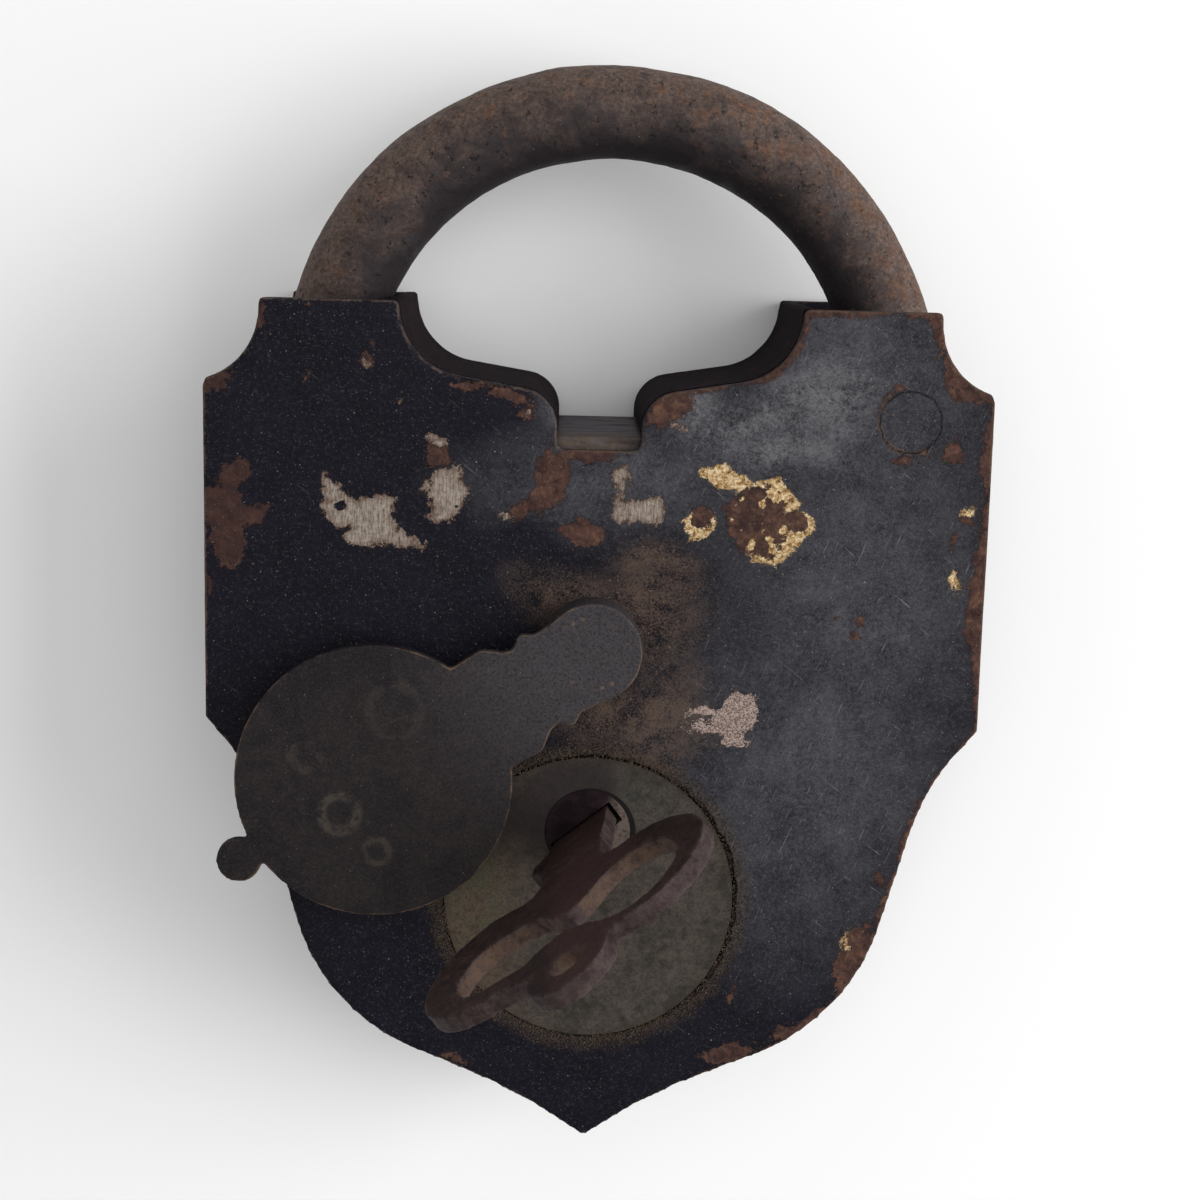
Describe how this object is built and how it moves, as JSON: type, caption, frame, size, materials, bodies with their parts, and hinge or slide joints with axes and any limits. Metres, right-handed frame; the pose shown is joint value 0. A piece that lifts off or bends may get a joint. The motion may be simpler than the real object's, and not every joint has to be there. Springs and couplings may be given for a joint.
{
  "type": "shield padlock",
  "caption": "Large rusted sheet iron shield padlock with pin tumbler cylinder, inserted flat key, hinged shackle and swinging keyhole drop.",
  "frame": {"origin": "on the back plate's outer face, under the middle of the bounding box", "axes": "+Z out of the front plate towards the key, +Y from the case's point towards the shackle, +X to the right seen from the front"},
  "size_m": [0.11, 0.1552, 0.0865],
  "materials": {
    "case_iron": "worn blue-black paint over rusted sheet iron",
    "drop_iron": "dark oxidised iron with a worn edge",
    "shackle_iron": "dark brown rust patina",
    "cylinder_brass": "dull oxidised brass",
    "plug_brass": "dull brass with dirt",
    "key_steel": "evenly rusted flat steel",
    "inner_steel": "dull plain steel"
  },
  "bodies": {
    "case": {"front_plate": "case_iron", "back_plate": "case_iron", "rim_left": "case_iron", "rim_right": "case_iron", "saddle_strip": "case_iron", "case_posts": "inner_steel", "shackle_pin": "inner_steel", "heel_spacers": "inner_steel", "toe_guides": "inner_steel", "cylinder_body": "cylinder_brass", "chamber_cover": "cylinder_brass", "cylinder_screws": "inner_steel", "driver_pins": "inner_steel", "chamber_springs": "inner_steel", "bolt_posts": "inner_steel", "spring_stud": "inner_steel", "leaf_spring": "inner_steel", "drop_boss": "drop_iron", "drop_rivet": "drop_iron"},
    "shackle": {"shackle": "shackle_iron"},
    "bolt": {"bolt": "inner_steel"},
    "key_barrel": {"plug": "plug_brass", "key": "key_steel", "key_pins": "plug_brass", "cam": "inner_steel", "cam_screw": "inner_steel"},
    "drop": {"drop_cover": "drop_iron"}
  },
  "joints": [
    {"name": "shackle_swing", "type": "hinge", "parent": "case", "child": "shackle", "pos_m": [0.0435, 0.02872, 0.019], "axis": [0, 0, 1], "range_deg": [-60, 0]},
    {"name": "key_turn", "type": "hinge", "parent": "case", "child": "key_barrel", "pos_m": [-0.0003, -0.03128, 0.038], "axis": [0, 0, 1], "range_deg": [-38, 52]},
    {"name": "bolt_slide", "type": "slide", "parent": "case", "child": "bolt", "axis": [1, 0, 0], "range_m": [-0.0053, 0.0039]},
    {"name": "drop_swing", "type": "hinge", "parent": "case", "child": "drop", "pos_m": [-0.0003, -0.00388, 0.0441], "axis": [0, 0, 1], "range_deg": [-258, 4]}
  ],
  "couplings": [
    {"joint": "bolt_slide", "follows": "key_turn", "m_per_rad": -0.005726}
  ]
}
